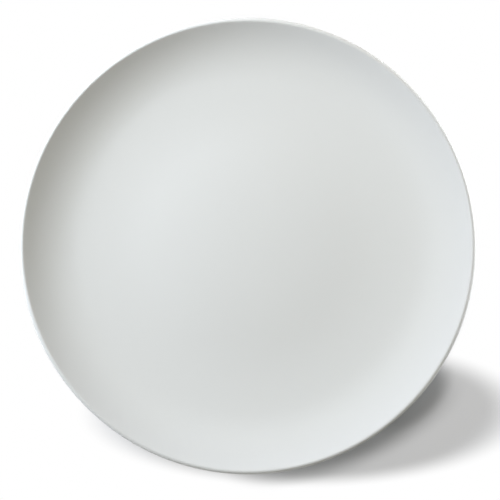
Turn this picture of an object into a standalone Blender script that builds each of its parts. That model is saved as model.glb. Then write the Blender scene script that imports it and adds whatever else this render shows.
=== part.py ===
"""Coupe pizza plate: a turned porcelain body under a fused glaze, with a bare foot ring.

Metres, +Z up. The plate lies face up with its axis on Z and its foot ring standing on z = 0.

Every piece is turned about Z from one section, drawn in (radius, height) as straight runs and arcs
that meet tangentially. A depth is measured from the finished surface into the material: the glaze
lies between depth 0 and GLAZE_THICKNESS, and the porcelain begins at COAT. Arcs keep their centres
at every depth, so the layers stay parallel.
"""

import math

import bmesh
import bpy

# The finished plate
PLATE_DIAMETER = 0.320
PLATE_HEIGHT = 0.027
RIM_WIDTH = 0.041  # in plan, from the outer edge to the verge where the rim begins to sweep up
DISH_WIDTH = 0.048  # in plan, from the verge to the level middle of the well
DISH_SLOPE = math.radians(8.3)  # of the face at the verge
WELL_WALL = 0.0055  # in the level middle
VERGE_WALL = 0.0058  # square to the face at the verge
LIP_THICKNESS = 0.0042

# The foot ring
RECESS_DEPTH = 0.0035  # from the table to the underside within the ring
FOOT_SETBACK = 0.016  # of the ring's middle, inwards from the verge
FOOT_FACE_WIDTH = 0.003  # level standing face
FOOT_EDGE_RADIUS = 0.0008
FOOT_FILLET_RADIUS = 0.0015
FOOT_DRAFT = math.radians(15)  # of both flanks, so that the body leaves its mould
BARE_FOOT_HEIGHT = 0.0013  # wiped clean of glaze, so that the plate doesn't stick in the kiln

# The layers
GLAZE_THICKNESS = 0.0004
GLAZE_GAP = 0.0003  # clearance between the glaze and the porcelain that it is fused to
COAT = GLAZE_THICKNESS + GLAZE_GAP

# Facets
TURN_STEPS = 72
DISH_STEPS = 3
RIM_STEPS = 7
LIP_STEPS = 6
BACK_STEPS = 7
HEEL_STEPS = 2
FILLET_STEPS = 2
EDGE_STEPS = 2
MERGE_DISTANCE = 1e-6
SHARP_ANGLE = math.radians(40)

# Directions in the section
UP = math.radians(90)
DOWN = math.radians(-90)
LEFT = math.radians(180)

# Places that follow from the sizes above
PLATE_RADIUS = PLATE_DIAMETER / 2
LIP_RADIUS = LIP_THICKNESS / 2
VERGE_RADIUS = PLATE_RADIUS - RIM_WIDTH
FLAT_RADIUS = VERGE_RADIUS - DISH_WIDTH
FOOT_RADIUS = VERGE_RADIUS - FOOT_SETBACK
WELL_HEIGHT = RECESS_DEPTH + WELL_WALL


def polar(centre, radius, angle):
    """The point at this distance and direction from a centre."""
    return (centre[0] + radius * math.cos(angle), centre[1] + radius * math.sin(angle))


def direction(start, end):
    """The angle of the line from one point to another."""
    return math.atan2(end[1] - start[1], end[0] - start[0])


def arc(centre, radius, start, end, steps):
    """Points along an arc, both ends included."""
    return [polar(centre, radius, start + (end - start) * i / steps) for i in range(steps + 1)]


def joined(*stretches):
    """One chain of points from stretches that follow each other, each shared end kept once."""
    chain = []
    for point in (point for stretch in stretches for point in stretch):
        if not chain or math.dist(chain[-1], point) > MERGE_DISTANCE:
            chain.append(point)
    return chain


# The face and the back: centres and finished radii of their arcs
LIP_CENTRE = (PLATE_RADIUS - LIP_RADIUS, PLATE_HEIGHT - LIP_RADIUS)
DISH_RADIUS = DISH_WIDTH / math.sin(DISH_SLOPE)
DISH_CENTRE = (FLAT_RADIUS, WELL_HEIGHT + DISH_RADIUS)
HEEL_RADIUS = DISH_RADIUS + VERGE_WALL
VERGE_NORMAL = DOWN + DISH_SLOPE


def arc_to_lip(start, lip_side):
    """Centre and radius of the arc that leaves the verge smoothly and touches the lip.

    The lip's side is its radius on the face, and minus that on the back, where the arc holds the lip.
    """
    run = LIP_CENTRE[0] - start[0]
    rise = LIP_CENTRE[1] - start[1]
    away = rise * math.cos(DISH_SLOPE) - run * math.sin(DISH_SLOPE)
    radius = (run**2 + rise**2 - LIP_RADIUS**2) / (2 * (away + lip_side))
    return polar(start, -radius, VERGE_NORMAL), radius


RIM_CENTRE, RIM_RADIUS = arc_to_lip(polar(DISH_CENTRE, DISH_RADIUS, VERGE_NORMAL), LIP_RADIUS)
BACK_CENTRE, BACK_RADIUS = arc_to_lip(polar(DISH_CENTRE, HEEL_RADIUS, VERGE_NORMAL), -LIP_RADIUS)


# The foot ring: side 1 is its outer flank, and side -1 its inner one
def edge_centre(side):
    """Centre of the rounded edge between the standing face and a flank."""
    return (FOOT_RADIUS + side * FOOT_FACE_WIDTH / 2, FOOT_EDGE_RADIUS)


def flank_point(side, depth, height):
    """The point at this height on a flank's layer."""
    middle = edge_centre(side)
    reach = FOOT_EDGE_RADIUS + COAT - depth + (height - middle[1]) * math.sin(FOOT_DRAFT)
    return (middle[0] + side * reach / math.cos(FOOT_DRAFT), height)


def heel_fillet_centre():
    """Centre of the hollow between the outer flank and the back."""
    start = flank_point(1, -FOOT_FILLET_RADIUS, 0)
    away = math.dist(DISH_CENTRE, start)
    apart = direction(start, DISH_CENTRE) - (UP - FOOT_DRAFT)
    along = away * math.cos(apart)
    across = away * math.sin(apart)
    climb = along - math.sqrt((HEEL_RADIUS + FOOT_FILLET_RADIUS) ** 2 - across**2)
    return polar(start, climb, UP - FOOT_DRAFT)


HEEL_FILLET = heel_fillet_centre()
RECESS_FILLET = flank_point(-1, -FOOT_FILLET_RADIUS, RECESS_DEPTH - FOOT_FILLET_RADIUS)


# Stretches of the section, at any depth
def face(depth):
    """From the axis over the level middle, the dish and the rim to the lip."""
    lip_start = direction(RIM_CENTRE, LIP_CENTRE)
    return joined(
        [(0, WELL_HEIGHT - depth)],
        arc(DISH_CENTRE, DISH_RADIUS + depth, DOWN, VERGE_NORMAL, DISH_STEPS),
        arc(RIM_CENTRE, RIM_RADIUS + depth, VERGE_NORMAL, lip_start, RIM_STEPS),
    )


def lip(depth):
    """Round the outer edge, from the face to the back."""
    start = direction(LIP_CENTRE, RIM_CENTRE)
    end = direction(BACK_CENTRE, LIP_CENTRE)
    return arc(LIP_CENTRE, LIP_RADIUS - depth, start, end, LIP_STEPS)


def back(depth):
    """From the lip down the back and the heel into the hollow beside the foot's outer flank."""
    lip_end = direction(BACK_CENTRE, LIP_CENTRE)
    foot_side = direction(HEEL_FILLET, DISH_CENTRE)
    return joined(
        arc(BACK_CENTRE, BACK_RADIUS - depth, lip_end, VERGE_NORMAL, BACK_STEPS),
        arc(DISH_CENTRE, HEEL_RADIUS - depth, VERGE_NORMAL, foot_side - LEFT, HEEL_STEPS),
        arc(HEEL_FILLET, FOOT_FILLET_RADIUS + depth, foot_side, LEFT - FOOT_DRAFT, FILLET_STEPS),
    )


def foot():
    """Round the bare foot ring, from its outer flank over the standing face to its inner flank."""
    return joined(
        arc(edge_centre(1), FOOT_EDGE_RADIUS, -FOOT_DRAFT, DOWN, EDGE_STEPS),
        arc(edge_centre(-1), FOOT_EDGE_RADIUS, DOWN, FOOT_DRAFT - LEFT, EDGE_STEPS),
    )


def recess(depth):
    """From the foot's inner flank over the underside within the ring to the axis."""
    return joined(
        arc(RECESS_FILLET, FOOT_FILLET_RADIUS + depth, FOOT_DRAFT, UP, FILLET_STEPS),
        [(0, RECESS_DEPTH + depth)],
    )


# Sections of the pieces, each from the axis to the axis
def porcelain_section():
    return joined(face(COAT), lip(COAT), back(COAT), foot(), recess(COAT))


def glaze_side(depth):
    return joined(face(depth), lip(depth), back(depth), [flank_point(1, depth, BARE_FOOT_HEIGHT)])


def glaze_section():
    """Over the face, round the lip and down the back to the foot, and back again beneath itself."""
    return glaze_side(0) + glaze_side(GLAZE_THICKNESS)[::-1]


def recess_glaze_side(depth):
    return joined([flank_point(-1, depth, BARE_FOOT_HEIGHT)], recess(depth))


def recess_glaze_section():
    """Within the foot ring, cut off from the rest of the glaze by the bare foot."""
    return recess_glaze_side(0)[::-1] + recess_glaze_side(GLAZE_THICKNESS)


def finish(name, colour, roughness):
    material = bpy.data.materials.new(name)
    material.use_nodes = True
    shader = material.node_tree.nodes["Principled BSDF"]
    shader.inputs["Base Color"].default_value = (*colour, 1)
    shader.inputs["Roughness"].default_value = roughness
    shader.inputs["Metallic"].default_value = 0
    return material


def turned(name, section, material):
    """A closed solid, turned about Z from a section that starts and ends on the axis."""
    shape = bmesh.new()
    corners = [shape.verts.new((radius, 0, height)) for radius, height in section]
    runs = [shape.edges.new(pair) for pair in zip(corners, corners[1:])]
    bmesh.ops.spin(shape, geom=corners + runs, cent=(0, 0, 0), axis=(0, 0, 1),
                   angle=math.tau, steps=TURN_STEPS, use_merge=True)
    bmesh.ops.remove_doubles(shape, verts=shape.verts, dist=MERGE_DISTANCE)
    bmesh.ops.recalc_face_normals(shape, faces=shape.faces)
    mesh = bpy.data.meshes.new(name)
    shape.to_mesh(mesh)
    shape.free()
    mesh.shade_smooth()
    mesh.set_sharp_from_angle(angle=SHARP_ANGLE)
    mesh.materials.append(material)
    piece = bpy.data.objects.new(name, mesh)
    bpy.context.scene.collection.objects.link(piece)
    return piece


def clear_scene():
    for thing in list(bpy.data.objects):
        bpy.data.objects.remove(thing, do_unlink=True)


def main():
    clear_scene()
    biscuit = finish("bare_porcelain", colour=(0.67, 0.64, 0.59), roughness=0.75)
    glaze = finish("white_glaze", colour=(0.73, 0.75, 0.74), roughness=0.4)
    turned("porcelain_body", porcelain_section(), biscuit)
    turned("glaze_coat", glaze_section(), glaze)
    turned("recess_glaze", recess_glaze_section(), glaze)


main()
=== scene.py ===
"""Pizza plate in white glazed porcelain, face up on a pale studio floor and seen from above."""

import math

import bmesh
import bpy
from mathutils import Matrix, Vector


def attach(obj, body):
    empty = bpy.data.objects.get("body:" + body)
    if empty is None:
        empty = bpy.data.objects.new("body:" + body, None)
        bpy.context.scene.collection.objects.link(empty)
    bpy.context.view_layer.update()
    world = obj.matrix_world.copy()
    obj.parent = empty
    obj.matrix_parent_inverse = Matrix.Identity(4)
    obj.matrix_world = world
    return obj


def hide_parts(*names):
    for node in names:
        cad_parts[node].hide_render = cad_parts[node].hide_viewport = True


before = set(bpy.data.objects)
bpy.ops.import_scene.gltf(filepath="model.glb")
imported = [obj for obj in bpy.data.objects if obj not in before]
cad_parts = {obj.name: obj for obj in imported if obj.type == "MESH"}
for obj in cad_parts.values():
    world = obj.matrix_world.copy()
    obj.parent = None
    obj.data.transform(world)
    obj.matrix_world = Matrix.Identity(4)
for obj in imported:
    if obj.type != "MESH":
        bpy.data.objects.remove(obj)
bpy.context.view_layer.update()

# The plate's section, in metres: radius from the axis, and height above the table
PLATE_RADIUS = 0.15998
PLATE_HEIGHT = 0.02699
LIP_RADIUS = 0.0021
VERGE_RADIUS = 0.119
FLAT_RADIUS = 0.071
DISH_SLOPE = math.radians(8.3)
WELL_HEIGHT = 0.009
VERGE_WALL = 0.0058
RECESS_DEPTH = 0.0035
FOOT_RADIUS = 0.103
FOOT_FACE_WIDTH = 0.003
FOOT_EDGE_RADIUS = 0.0008
FOOT_FILLET_RADIUS = 0.0015
FOOT_DRAFT = math.radians(15)
FOOT_COAT = 0.0007  # from the foot's bare edge out to its glazed flank
GLAZE_LINE = 0.0013  # height of the wiped edge of the glaze on the foot
GLAZE_THICKNESS = 0.0004
PORCELAIN_DEPTH = 0.00045  # of the porcelain below the finished surface

# What wiping and firing do to a true shape. Each wave: its share, how many there are all round,
# and its start in radians.
KILN_SETTLE = 0.00022  # most that the soft rim sinks
SETTLE_WAVES = ((0.3, 2, 0.7), (0.2, 3, 2.1))
WIPE_WANDER = 0.00030  # most that the wiped edge strays up the foot
WIPE_WAVES = ((0.25, 3, 0), (0.15, 8, 1), (0.1, 17, 2))
WIPE_REACH = 0.0016  # of that straying, up the flank
OUTER_WIPE_START = 0.4
INNER_WIPE_START = 2.6

# Fineness of the turned meshes: steps about the axis, and along each stretch of the section
TURN_STEPS = 240
WELL_STEPS = 6
DISH_STEPS = 12
RIM_STEPS = 26
LIP_STEPS = 16
HEEL_STEPS = 6
FILLET_STEPS = 8
FLANK_STEPS = 4
BEVEL_STEPS = 2
FOOT_EDGE_STEPS = 10
FOOT_FACE_STEPS = 3
RECESS_STEPS = 8
GLAZE_END_STEPS = 10
BACKING_FILLET_STEPS = 6  # of the porcelain behind the glaze in the recess
BACKING_RECESS_STEPS = 4
BACKING = 0.6  # share of the steps on porcelain that glaze covers
HIDDEN = 0.4  # share of the steps on faces that lie inside
WELD = 1e-6

# Directions in the section
UP = math.radians(90)
DOWN = math.radians(-90)
LEFT = math.radians(180)

# Colours and finish of the glaze and of the bare porcelain, with distances in metres
WHITE = (1, 1, 1)
BLACK = (0, 0, 0)
GLAZE_TONES = ((0.722, 0.745, 0.738), (0.738, 0.757, 0.748))  # between which its clouds range
GLAZE_RIM_DARKER = (0.685, 0.703, 0.699)  # a shade darker across the steep rim, out towards the lip
RIM_DARKER_SPAN = (0.130, 0.156)
GLAZE_THIN = (0.715, 0.727, 0.712)  # where it is drawn thin over the lip
THIN_SPAN = (PLATE_RADIUS - 2.2 * LIP_RADIUS, PLATE_RADIUS)
THIN_SHARE = 0.6
GLAZE_CLOUD_SPAN = (0.3, 0.7)
GLAZE_ROUGHNESS = (0.60, 0.66)
GLAZE_IOR = 1.5
GLAZE_SHEEN = 0.27
PEEL_DEPTH = 0.000004
GLAZE_RING_SPACING = 0.0064
GLAZE_RING_DEPTH = 0.0000012
CLAY_TONES = ((0.60, 0.565, 0.51), (0.72, 0.69, 0.64))
CLAY_CLOUD_SPAN = (0.25, 0.75)
CLAY_ROUGHNESS = (0.62, 0.85)
GRAIN_DEPTH = 0.00005
CLAY_RING_SPACING = 0.0005
CLAY_RING_DEPTH = 0.00001

# The floor and the light all round
FLOOR_RADIUS = 3.0
FLOOR_SIDES = 96
FLOOR_WHITE = (0.92, 0.92, 0.92)
FLOOR_PAINTED_SHADOW = (0.444, 0.459, 0.490)  # painted shadow: a grey painted into the floor within the ovals, deepening the shadow that the plate casts there
AMBIENT = (0.02, 0.02, 0.02)
# Ovals of painted shadow: within each the floor shows the plate's cast shadow, deepened by a
# painted grey.
# Each oval: how fully it shows there, the oval's middle, half lengths and turn in degrees, and its
# softness.
PAINTED_SHADOW_OVALS = (
    (1.00, (0.0105, -0.0060), (0.1450, 0.1450), 0, 0.075),
    (0.59, (0.0415, -0.1195), (0.1475, 0.0495), 0, 0.13),
    (0.85, (0.0700, -0.1315), (0.0735, 0.0245), 21, 0.32),
    (0.95, (0.1145, -0.1100), (0.0325, 0.0170), 33, 0.29),
)

# Lamps with a flat front that faces the plate's middle. Each one: name, azimuth in degrees
# anticlockwise from the right of the picture, elevation, distance, width and height, power, colour.
LAMPS = (
    ("key", 150, 26, 0.9, (0.28, 0.28), 10.5, (0.881, 0.921, 1.0)),
    ("fill", 60, 45, 0.9, (0.5, 0.5), 2.45, (1.0, 0.93, 0.84)),
    ("top", 0, 90, 2.0, (0.5, 0.5), 8.35, (1.0, 0.965, 0.84)),
    ("right_card", 14, 2, 0.38, (0.22, 0.022), 0.95, (0.92, 0.95, 1.0)),
    ("front_card", -105, 2, 0.38, (0.26, 0.022), 0.16, WHITE),
)

# The photograph: half its width at the height of the lip, and the plate's middle off its centre
HALF_FRAME = 0.17475
OFF_CENTRE = (-0.0015, 0.00275)
LENS = 85
SENSOR = 36


# Points and centres of the section
def polar(centre, radius, angle):
    return Vector((centre[0] + radius * math.cos(angle), centre[1] + radius * math.sin(angle)))


def direction(start, end):
    return math.atan2(end[1] - start[1], end[0] - start[0])


LIP_CENTRE = Vector((PLATE_RADIUS - LIP_RADIUS, PLATE_HEIGHT - LIP_RADIUS))
DISH_RADIUS = (VERGE_RADIUS - FLAT_RADIUS) / math.sin(DISH_SLOPE)
DISH_CENTRE = Vector((FLAT_RADIUS, WELL_HEIGHT + DISH_RADIUS))
HEEL_RADIUS = DISH_RADIUS + VERGE_WALL
VERGE_NORMAL = DOWN + DISH_SLOPE


def sweep_to_lip(start, lip_side):
    """Centre of the sweep that leaves the verge smoothly and touches the lip."""
    run, rise = LIP_CENTRE - start
    away = rise * math.cos(DISH_SLOPE) - run * math.sin(DISH_SLOPE)
    radius = (run**2 + rise**2 - LIP_RADIUS**2) / (2 * (away + lip_side))
    return polar(start, -radius, VERGE_NORMAL)


RIM_CENTRE = sweep_to_lip(polar(DISH_CENTRE, DISH_RADIUS, VERGE_NORMAL), LIP_RADIUS)
BACK_CENTRE = sweep_to_lip(polar(DISH_CENTRE, HEEL_RADIUS, VERGE_NORMAL), -LIP_RADIUS)


def foot_edge(side):
    """Centre of the foot's rounded edge, on side 1 (outer) or -1 (inner)."""
    return Vector((FOOT_RADIUS + side * FOOT_FACE_WIDTH / 2, FOOT_EDGE_RADIUS))


def flank_point(side, depth, height):
    """The point at this height on the foot's flank, at a depth below its finished surface."""
    middle = foot_edge(side)
    climb = (height - middle[1]) * math.sin(FOOT_DRAFT)
    reach = FOOT_EDGE_RADIUS + FOOT_COAT - depth + climb
    return Vector((middle[0] + side * reach / math.cos(FOOT_DRAFT), height))


def heel_fillet_centre():
    """Centre of the fillet between the foot's outer flank and the plate's back."""
    start = flank_point(1, -FOOT_FILLET_RADIUS, 0)
    away = (DISH_CENTRE - start).length
    apart = direction(start, DISH_CENTRE) - (UP - FOOT_DRAFT)
    across = away * math.sin(apart)
    reach = math.sqrt((HEEL_RADIUS + FOOT_FILLET_RADIUS) ** 2 - across**2)
    return polar(start, away * math.cos(apart) - reach, UP - FOOT_DRAFT)


HEEL_FILLET = heel_fillet_centre()
RECESS_FILLET = flank_point(-1, -FOOT_FILLET_RADIUS, RECESS_DEPTH - FOOT_FILLET_RADIUS)
LIP_FACE_SIDE = direction(RIM_CENTRE, LIP_CENTRE)
LIP_BACK_SIDE = direction(BACK_CENTRE, LIP_CENTRE)
HEEL_FOOT_SIDE = direction(DISH_CENTRE, HEEL_FILLET)
GLAZE_END = GLAZE_LINE + GLAZE_THICKNESS / 2  # height at which the glaze begins to round off


class Section:
    """A section drawn from the axis with straight runs and swings, then turned about the axis."""

    def __init__(self, start, fineness=1.0):
        self.shape = bmesh.new()
        self.tip = self.shape.verts.new((start[0], 0, start[1]))
        self.fineness = fineness
        self.strokes = []

    def place(self):
        """The point that the section has come to."""
        return Vector((self.tip.co.x, self.tip.co.z))

    def run(self, end, steps=1):
        """A straight run to a point, in equal steps."""
        start = self.place()
        for i in range(1, steps + 1):
            made = bmesh.ops.extrude_vert_indiv(self.shape, verts=[self.tip])
            point = start.lerp(end, i / steps)
            self.tip = made["verts"][0]
            self.tip.co = (point[0], 0, point[1])
        self.strokes.append(("run", Vector(end) - start, steps))

    def swing(self, centre, turn, steps):
        """An arc about a centre, anticlockwise for a positive turn."""
        count = max(2, round(steps * self.fineness))
        made = bmesh.ops.spin(self.shape, geom=[self.tip], cent=(centre[0], 0, centre[1]),
                              axis=(0, -1, 0), angle=turn, steps=count)
        ends = made["geom_last"]
        self.tip = next(item for item in ends if isinstance(item, bmesh.types.BMVert))
        self.strokes.append(("swing", centre, turn, steps))

    def round_end(self, side):
        """A half round to the layer's other side, and back along its strokes to the axis."""
        drawn = list(reversed(self.strokes))
        inwards = LEFT - FOOT_DRAFT if side > 0 else FOOT_DRAFT
        middle = polar(self.place(), GLAZE_THICKNESS / 2, inwards)
        self.swing(middle, -side * LEFT, GLAZE_END_STEPS)
        self.fineness = HIDDEN
        for kind, *stroke in drawn:
            if kind == "run":
                way, steps = stroke
                self.run(self.place() - way, max(1, round(steps * HIDDEN)))
            else:
                centre, turn, steps = stroke
                self.swing(centre, -turn, steps)

    def turned(self):
        """The closed shape that the section sweeps out about the plate's axis."""
        shape = self.shape
        bmesh.ops.spin(shape, geom=shape.verts[:] + shape.edges[:], cent=(0, 0, 0),
                       axis=(0, 0, 1), angle=math.tau, steps=TURN_STEPS, use_merge=True)
        bmesh.ops.remove_doubles(shape, verts=shape.verts, dist=WELD)
        bmesh.ops.recalc_face_normals(shape, faces=shape.faces)
        return shape


# Stretches of the section, each from where the last one ended
def draw_upper(section, depth):
    """Over the level middle, the dish and the rim, round the lip, and down the back to the foot."""
    section.run(Vector((FLAT_RADIUS, WELL_HEIGHT - depth)), WELL_STEPS)
    section.swing(DISH_CENTRE, DISH_SLOPE, DISH_STEPS)
    section.swing(RIM_CENTRE, LIP_FACE_SIDE - VERGE_NORMAL, RIM_STEPS)
    section.swing(LIP_CENTRE, LIP_BACK_SIDE - LIP_FACE_SIDE - LEFT, LIP_STEPS)
    section.swing(BACK_CENTRE, VERGE_NORMAL - LIP_BACK_SIDE, RIM_STEPS)
    section.swing(DISH_CENTRE, HEEL_FOOT_SIDE - VERGE_NORMAL, HEEL_STEPS)
    section.swing(HEEL_FILLET, -FOOT_DRAFT - HEEL_FOOT_SIDE, FILLET_STEPS)
    section.run(flank_point(1, depth, GLAZE_END), FLANK_STEPS)


def draw_foot(section, depth):
    """Round the bare foot: a wiped bevel, the rounded edges and the level standing face."""
    bevel = 2 * FOOT_DRAFT
    section.run(polar(foot_edge(1), FOOT_EDGE_RADIUS, -bevel), BEVEL_STEPS)
    section.swing(foot_edge(1), DOWN + bevel, FOOT_EDGE_STEPS)
    section.run(foot_edge(-1) - Vector((0, FOOT_EDGE_RADIUS)), FOOT_FACE_STEPS)
    section.swing(foot_edge(-1), DOWN + bevel, FOOT_EDGE_STEPS)
    section.run(flank_point(-1, depth, GLAZE_END), BEVEL_STEPS)


def porcelain_shape():
    body = Section((0, WELL_HEIGHT - PORCELAIN_DEPTH), fineness=BACKING)
    draw_upper(body, PORCELAIN_DEPTH)
    body.fineness = 1
    draw_foot(body, PORCELAIN_DEPTH)
    body.run(polar(RECESS_FILLET, FOOT_FILLET_RADIUS + PORCELAIN_DEPTH, FOOT_DRAFT))
    body.swing(RECESS_FILLET, UP - FOOT_DRAFT, BACKING_FILLET_STEPS)
    body.run(Vector((0, RECESS_DEPTH + PORCELAIN_DEPTH)), BACKING_RECESS_STEPS)
    return body.turned()


def glaze_coat_shape():
    coat = Section((0, WELL_HEIGHT))
    draw_upper(coat, 0)
    coat.round_end(1)
    return coat.turned()


def recess_glaze_shape():
    coat = Section((0, RECESS_DEPTH))
    coat.run(RECESS_FILLET + Vector((0, FOOT_FILLET_RADIUS)), RECESS_STEPS)
    coat.swing(RECESS_FILLET, FOOT_DRAFT - UP, FILLET_STEPS)
    coat.run(flank_point(-1, 0, GLAZE_END), FLANK_STEPS)
    coat.round_end(-1)
    return coat.turned()


def uneven(angle, waves):
    """A share from 0 to 1 that comes and goes round the plate."""
    total = 0.5
    for share, count, start in waves:
        total += share * math.sin(count * angle + start)
    return total


def settle_in_kiln(shape):
    """The softened rim sinks a little, and not by the same amount all round."""
    for vert in shape.verts:
        radius = math.hypot(vert.co.x, vert.co.y)
        share = max(0, (radius - VERGE_RADIUS) / (PLATE_RADIUS - VERGE_RADIUS)) ** 2
        angle = math.atan2(vert.co.y, vert.co.x)
        vert.co.z -= KILN_SETTLE * share * uneven(angle, SETTLE_WAVES)


def wipe_by_hand(shape, side, start):
    """The wiped edge of the glaze wanders up and down the foot's flank."""
    for vert in shape.verts:
        radius = math.hypot(vert.co.x, vert.co.y)
        share = 1 - (vert.co.z - GLAZE_LINE) / WIPE_REACH
        if share <= 0 or abs(radius - FOOT_RADIUS) > 2 * FOOT_FACE_WIDTH:
            continue
        angle = math.atan2(vert.co.y, vert.co.x) + start
        climb = WIPE_WANDER * min(1, share) * uneven(angle, WIPE_WAVES)
        grow = 1 + side * climb * math.tan(FOOT_DRAFT) / radius
        vert.co = (vert.co.x * grow, vert.co.y * grow, vert.co.z + climb)


def made_object(name, shape, material):
    """An object in the scene from a finished shape and its material."""
    mesh = bpy.data.meshes.new(name)
    shape.to_mesh(mesh)
    shape.free()
    mesh.materials.append(material)
    item = bpy.data.objects.new(name, mesh)
    bpy.context.scene.collection.objects.link(item)
    return item


def finished(name, node, shape, material):
    """A piece of the plate: it stands for a CAD node and rides with the plate."""
    piece = made_object(name, shape, material)
    piece.data.shade_smooth()
    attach(piece, "root")
    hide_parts(node)


# Node helpers
def joined_node(tree, kind, settings=None, **inputs):
    """A new node with its settings, and its inputs set or joined to another node's output."""
    node = tree.nodes.new(kind)
    for name, value in (settings or {}).items():
        setattr(node, name, value)
    for name, value in inputs.items():
        socket = node.inputs[int(name[1:]) if name[1:].isdigit() else name.replace("_", " ")]
        if isinstance(value, bpy.types.NodeSocket):
            tree.links.new(value, socket)
        else:
            socket.default_value = value
    return node


def combined(tree, operation, first, *others):
    """Numbers taken together by one operation, two at a time."""
    for other in others:
        node = joined_node(tree, "ShaderNodeMath", {"operation": operation}, _0=first, _1=other)
        first = node.outputs[0]
    return first


def mapped(tree, value, span, onto):
    """A value carried smoothly from one span to another."""
    node = joined_node(tree, "ShaderNodeMapRange", {"interpolation_type": "SMOOTHSTEP"},
                       Value=value, From_Min=span[0], From_Max=span[1],
                       To_Min=onto[0], To_Max=onto[1])
    return node.outputs[0]


def vector_length(tree, vector):
    node = joined_node(tree, "ShaderNodeVectorMath", {"operation": "LENGTH"}, _0=vector)
    return node.outputs["Value"]


def axis_radius(tree, place):
    """How far a place is from the plate's axis."""
    flat = joined_node(tree, "ShaderNodeVectorMath", {"operation": "MULTIPLY"},
                       _0=place, _1=(1, 1, 0))
    return vector_length(tree, flat.outputs["Vector"])


COLOUR_INPUTS = (6, 7)  # of a Mix node that is set to colours
COLOUR_OUTPUT = 2


def mixed_colour(tree, share, first, second):
    """The first colour at a share of 0, and the second at a share of 1."""
    node = joined_node(tree, "ShaderNodeMix", {"data_type": "RGBA"}, _0=share)
    for index, value in zip(COLOUR_INPUTS, (first, second)):
        socket = node.inputs[index]
        if isinstance(value, bpy.types.NodeSocket):
            tree.links.new(value, socket)
        else:
            socket.default_value = (*value, 1)
    return node.outputs[COLOUR_OUTPUT]


def new_group(name, numbers, output):
    """A shader node group with a place, named number inputs and one number output."""
    tree = bpy.data.node_groups.new(name, "ShaderNodeTree")
    tree.interface.new_socket("Place", in_out="INPUT", socket_type="NodeSocketVector")
    for label in numbers:
        tree.interface.new_socket(label, in_out="INPUT", socket_type="NodeSocketFloat")
    tree.interface.new_socket(output, in_out="OUTPUT", socket_type="NodeSocketFloat")
    given = tree.nodes.new("NodeGroupInput").outputs
    return tree, given, tree.nodes.new("NodeGroupOutput").inputs[output]


def placed_group(tree, group, **inputs):
    return joined_node(tree, "ShaderNodeGroup", {"node_tree": group}, **inputs).outputs[0]


def kiln_cloud_group():
    """Slow clouds, as in a glaze that lies a little thicker here and there."""
    tree, given, out = new_group("kiln_cloud", ("Scale", "Detail"), "Cloud")
    noise = joined_node(tree, "ShaderNodeTexNoise", Vector=given["Place"], Scale=given["Scale"],
                        Detail=given["Detail"], Roughness=0.45)
    tree.links.new(noise.outputs["Fac"], out)
    return tree


def wheel_ring_group():
    """Faint rings about the axis, left by the wheel and never quite even."""
    tree, given, out = new_group("wheel_rings", ("Spacing", "Waver"), "Ring")
    turns = combined(tree, "DIVIDE", axis_radius(tree, given["Place"]), given["Spacing"])
    noise = joined_node(tree, "ShaderNodeTexNoise", Vector=given["Place"], Scale=22.0, Detail=2.0)
    waver = combined(tree, "MULTIPLY", noise.outputs["Fac"], given["Waver"])
    angle = combined(tree, "MULTIPLY", combined(tree, "ADD", turns, waver), math.tau)
    wave = joined_node(tree, "ShaderNodeMath", {"operation": "SINE"}, _0=angle)
    tree.links.new(wave.outputs[0], out)
    return tree


def new_material(name):
    material = bpy.data.materials.new(name)
    material.use_nodes = True
    tree = material.node_tree
    place = tree.nodes.new("ShaderNodeTexCoord").outputs["Object"]
    return material, tree, tree.nodes["Principled BSDF"], place


def raise_surface(tree, shader, *reliefs):
    """Bumps laid one on another. Each one: its height, and the depth that it reaches."""
    below = {}
    for height, depth in reliefs:
        bump = joined_node(tree, "ShaderNodeBump", Height=height, Strength=1.0, Distance=depth,
                           **below)
        below = {"Normal": bump.outputs["Normal"]}
    tree.links.new(below["Normal"], shader.inputs["Normal"])


def white_glaze(clouds, rings):
    """Cool white satin: a shade darker across the steep rim, and drawn thin over the lip."""
    material, tree, shader, place = new_material("white_glaze")
    cloud = placed_group(tree, clouds, Place=place, Scale=9.0, Detail=3.0)
    tone = mixed_colour(tree, cloud, *GLAZE_TONES)
    radius = axis_radius(tree, place)
    # A shade darker across the steep rim, out towards the lip.
    rim_darker = mapped(tree, radius, RIM_DARKER_SPAN, (0, 1))
    tone = mixed_colour(tree, rim_darker, tone, GLAZE_RIM_DARKER)
    thin = mapped(tree, radius, THIN_SPAN, (0, THIN_SHARE))
    tone = mixed_colour(tree, thin, tone, GLAZE_THIN)
    tree.links.new(tone, shader.inputs["Base Color"])
    rough = mapped(tree, cloud, GLAZE_CLOUD_SPAN, GLAZE_ROUGHNESS)
    tree.links.new(rough, shader.inputs["Roughness"])
    peel = placed_group(tree, clouds, Place=place, Scale=260.0, Detail=1.5)
    ring = placed_group(tree, rings, Place=place, Spacing=GLAZE_RING_SPACING, Waver=0.5)
    raise_surface(tree, shader, (peel, PEEL_DEPTH), (ring, GLAZE_RING_DEPTH))
    shader.inputs["IOR"].default_value = GLAZE_IOR
    shader.inputs["Specular IOR Level"].default_value = GLAZE_SHEEN
    return material


def bare_porcelain(clouds, rings):
    """Unglazed and wiped: matte, warm and finely grained, with the wheel's rings under the hand."""
    material, tree, shader, place = new_material("bare_porcelain")
    cloud = placed_group(tree, clouds, Place=place, Scale=60.0, Detail=6.0)
    tone = mixed_colour(tree, cloud, *CLAY_TONES)
    tree.links.new(tone, shader.inputs["Base Color"])
    rough = mapped(tree, cloud, CLAY_CLOUD_SPAN, CLAY_ROUGHNESS)
    tree.links.new(rough, shader.inputs["Roughness"])
    grain = placed_group(tree, clouds, Place=place, Scale=2400.0, Detail=4.0)
    ring = placed_group(tree, rings, Place=place, Spacing=CLAY_RING_SPACING, Waver=0.8)
    raise_surface(tree, shader, (grain, GRAIN_DEPTH), (ring, CLAY_RING_DEPTH))
    return material


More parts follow.
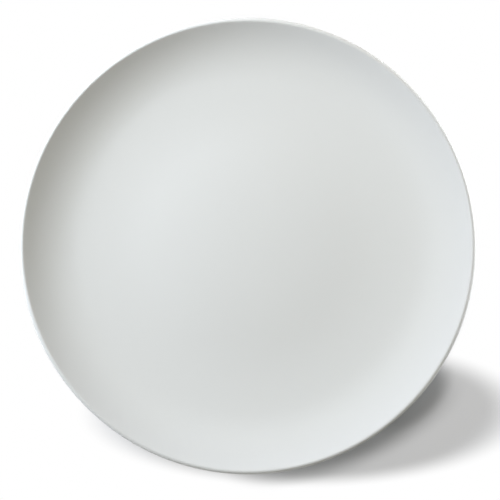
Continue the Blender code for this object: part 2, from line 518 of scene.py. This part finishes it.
# The studio
def seen_directly(tree):
    """1 where the eye, a gloss or a clear pane sees it, and 0 where it only lights other things."""
    path = tree.nodes.new("ShaderNodeLightPath").outputs
    return combined(tree, "MAXIMUM", path["Is Camera Ray"], path["Is Glossy Ray"],
                    path["Is Transmission Ray"])


def white_beside(tree, place, share, middle, half, turn, softness):
    """How white the floor is kept: 1 outside a soft oval, and less within it by its share."""
    own = joined_node(tree, "ShaderNodeMapping", {"vector_type": "TEXTURE"}, Vector=place,
                      Location=(*middle, 0), Rotation=(0, 0, math.radians(turn)),
                      Scale=(*half, 1))
    away = vector_length(tree, own.outputs["Vector"])
    return mapped(tree, away, (1 - softness, 1 + softness), (1 - share, 1))


def pale_floor():
    """A pale floor, white everywhere but within the ovals, where it shows the plate's cast shadow
    deepened by a painted grey: partly painted shadow.
    """
    shape = bmesh.new()
    bmesh.ops.create_circle(shape, cap_ends=True, radius=FLOOR_RADIUS, segments=FLOOR_SIDES)
    material, tree, shader, place = new_material("floor_white")
    tree.nodes.remove(shader)
    ovals = [white_beside(tree, place, *oval) for oval in PAINTED_SHADOW_OVALS]
    white = combined(tree, "MULTIPLY", *ovals)
    seen = seen_directly(tree)
    # Painted shadow: within the ovals the floor takes a painted grey on top of the shadow that the
    # lamps cast.
    shade = mixed_colour(tree, white, FLOOR_PAINTED_SHADOW, BLACK)
    tone = mixed_colour(tree, seen, FLOOR_WHITE, shade)
    matte = joined_node(tree, "ShaderNodeBsdfDiffuse", Color=tone)
    glow = combined(tree, "MULTIPLY", white, seen)
    light = joined_node(tree, "ShaderNodeEmission", Color=(*WHITE, 1), Strength=glow)
    both = joined_node(tree, "ShaderNodeAddShader", _0=matte.outputs[0], _1=light.outputs[0])
    tree.links.new(both.outputs[0], tree.nodes["Material Output"].inputs["Surface"])
    floor = made_object("pale_floor", shape, material)


def white_room():
    """Plain even light from all round, seen as white."""
    world = bpy.data.worlds.new("white_room")
    bpy.context.scene.world = world
    world.use_nodes = True
    tree = world.node_tree
    background = tree.nodes["Background"]
    colour = mixed_colour(tree, seen_directly(tree), AMBIENT, WHITE)
    tree.links.new(colour, background.inputs["Color"])
    background.inputs["Strength"].default_value = 1


def softbox(name, azimuth, elevation, distance, size, power, colour):
    light = bpy.data.lights.new(name, "AREA")
    light.shape = "RECTANGLE"
    light.size, light.size_y = size
    light.energy = power
    light.color = colour
    lamp = bpy.data.objects.new(name, light)
    around = math.radians(azimuth)
    above = math.radians(elevation)
    level = math.cos(above)
    way = Vector((math.cos(around) * level, math.sin(around) * level, math.sin(above)))
    lamp.location = way * distance
    lamp.rotation_euler = (-way).to_track_quat("-Z", "Y").to_euler()
    bpy.context.scene.collection.objects.link(lamp)


def overhead_camera():
    lens = bpy.data.cameras.new("overhead")
    lens.lens = LENS
    lens.sensor_width = SENSOR
    camera = bpy.data.objects.new("overhead", lens)
    height = HALF_FRAME * LENS / (SENSOR / 2)
    camera.location = (-OFF_CENTRE[0], -OFF_CENTRE[1], PLATE_HEIGHT + height)
    bpy.context.scene.collection.objects.link(camera)
    bpy.context.scene.camera = camera


def main():
    bpy.context.scene.view_settings.view_transform = "Standard"
    clouds = kiln_cloud_group()
    rings = wheel_ring_group()
    glaze = white_glaze(clouds, rings)
    porcelain = bare_porcelain(clouds, rings)
    body = porcelain_shape()
    coat = glaze_coat_shape()
    recess = recess_glaze_shape()
    wipe_by_hand(coat, 1, OUTER_WIPE_START)
    wipe_by_hand(recess, -1, INNER_WIPE_START)
    for shape in (body, coat, recess):
        settle_in_kiln(shape)
    finished("plate_porcelain", "porcelain_body", body, porcelain)
    finished("plate_glaze", "glaze_coat", coat, glaze)
    finished("plate_recess_glaze", "recess_glaze", recess, glaze)
    pale_floor()
    white_room()
    for lamp in LAMPS:
        softbox(*lamp)
    overhead_camera()


main()
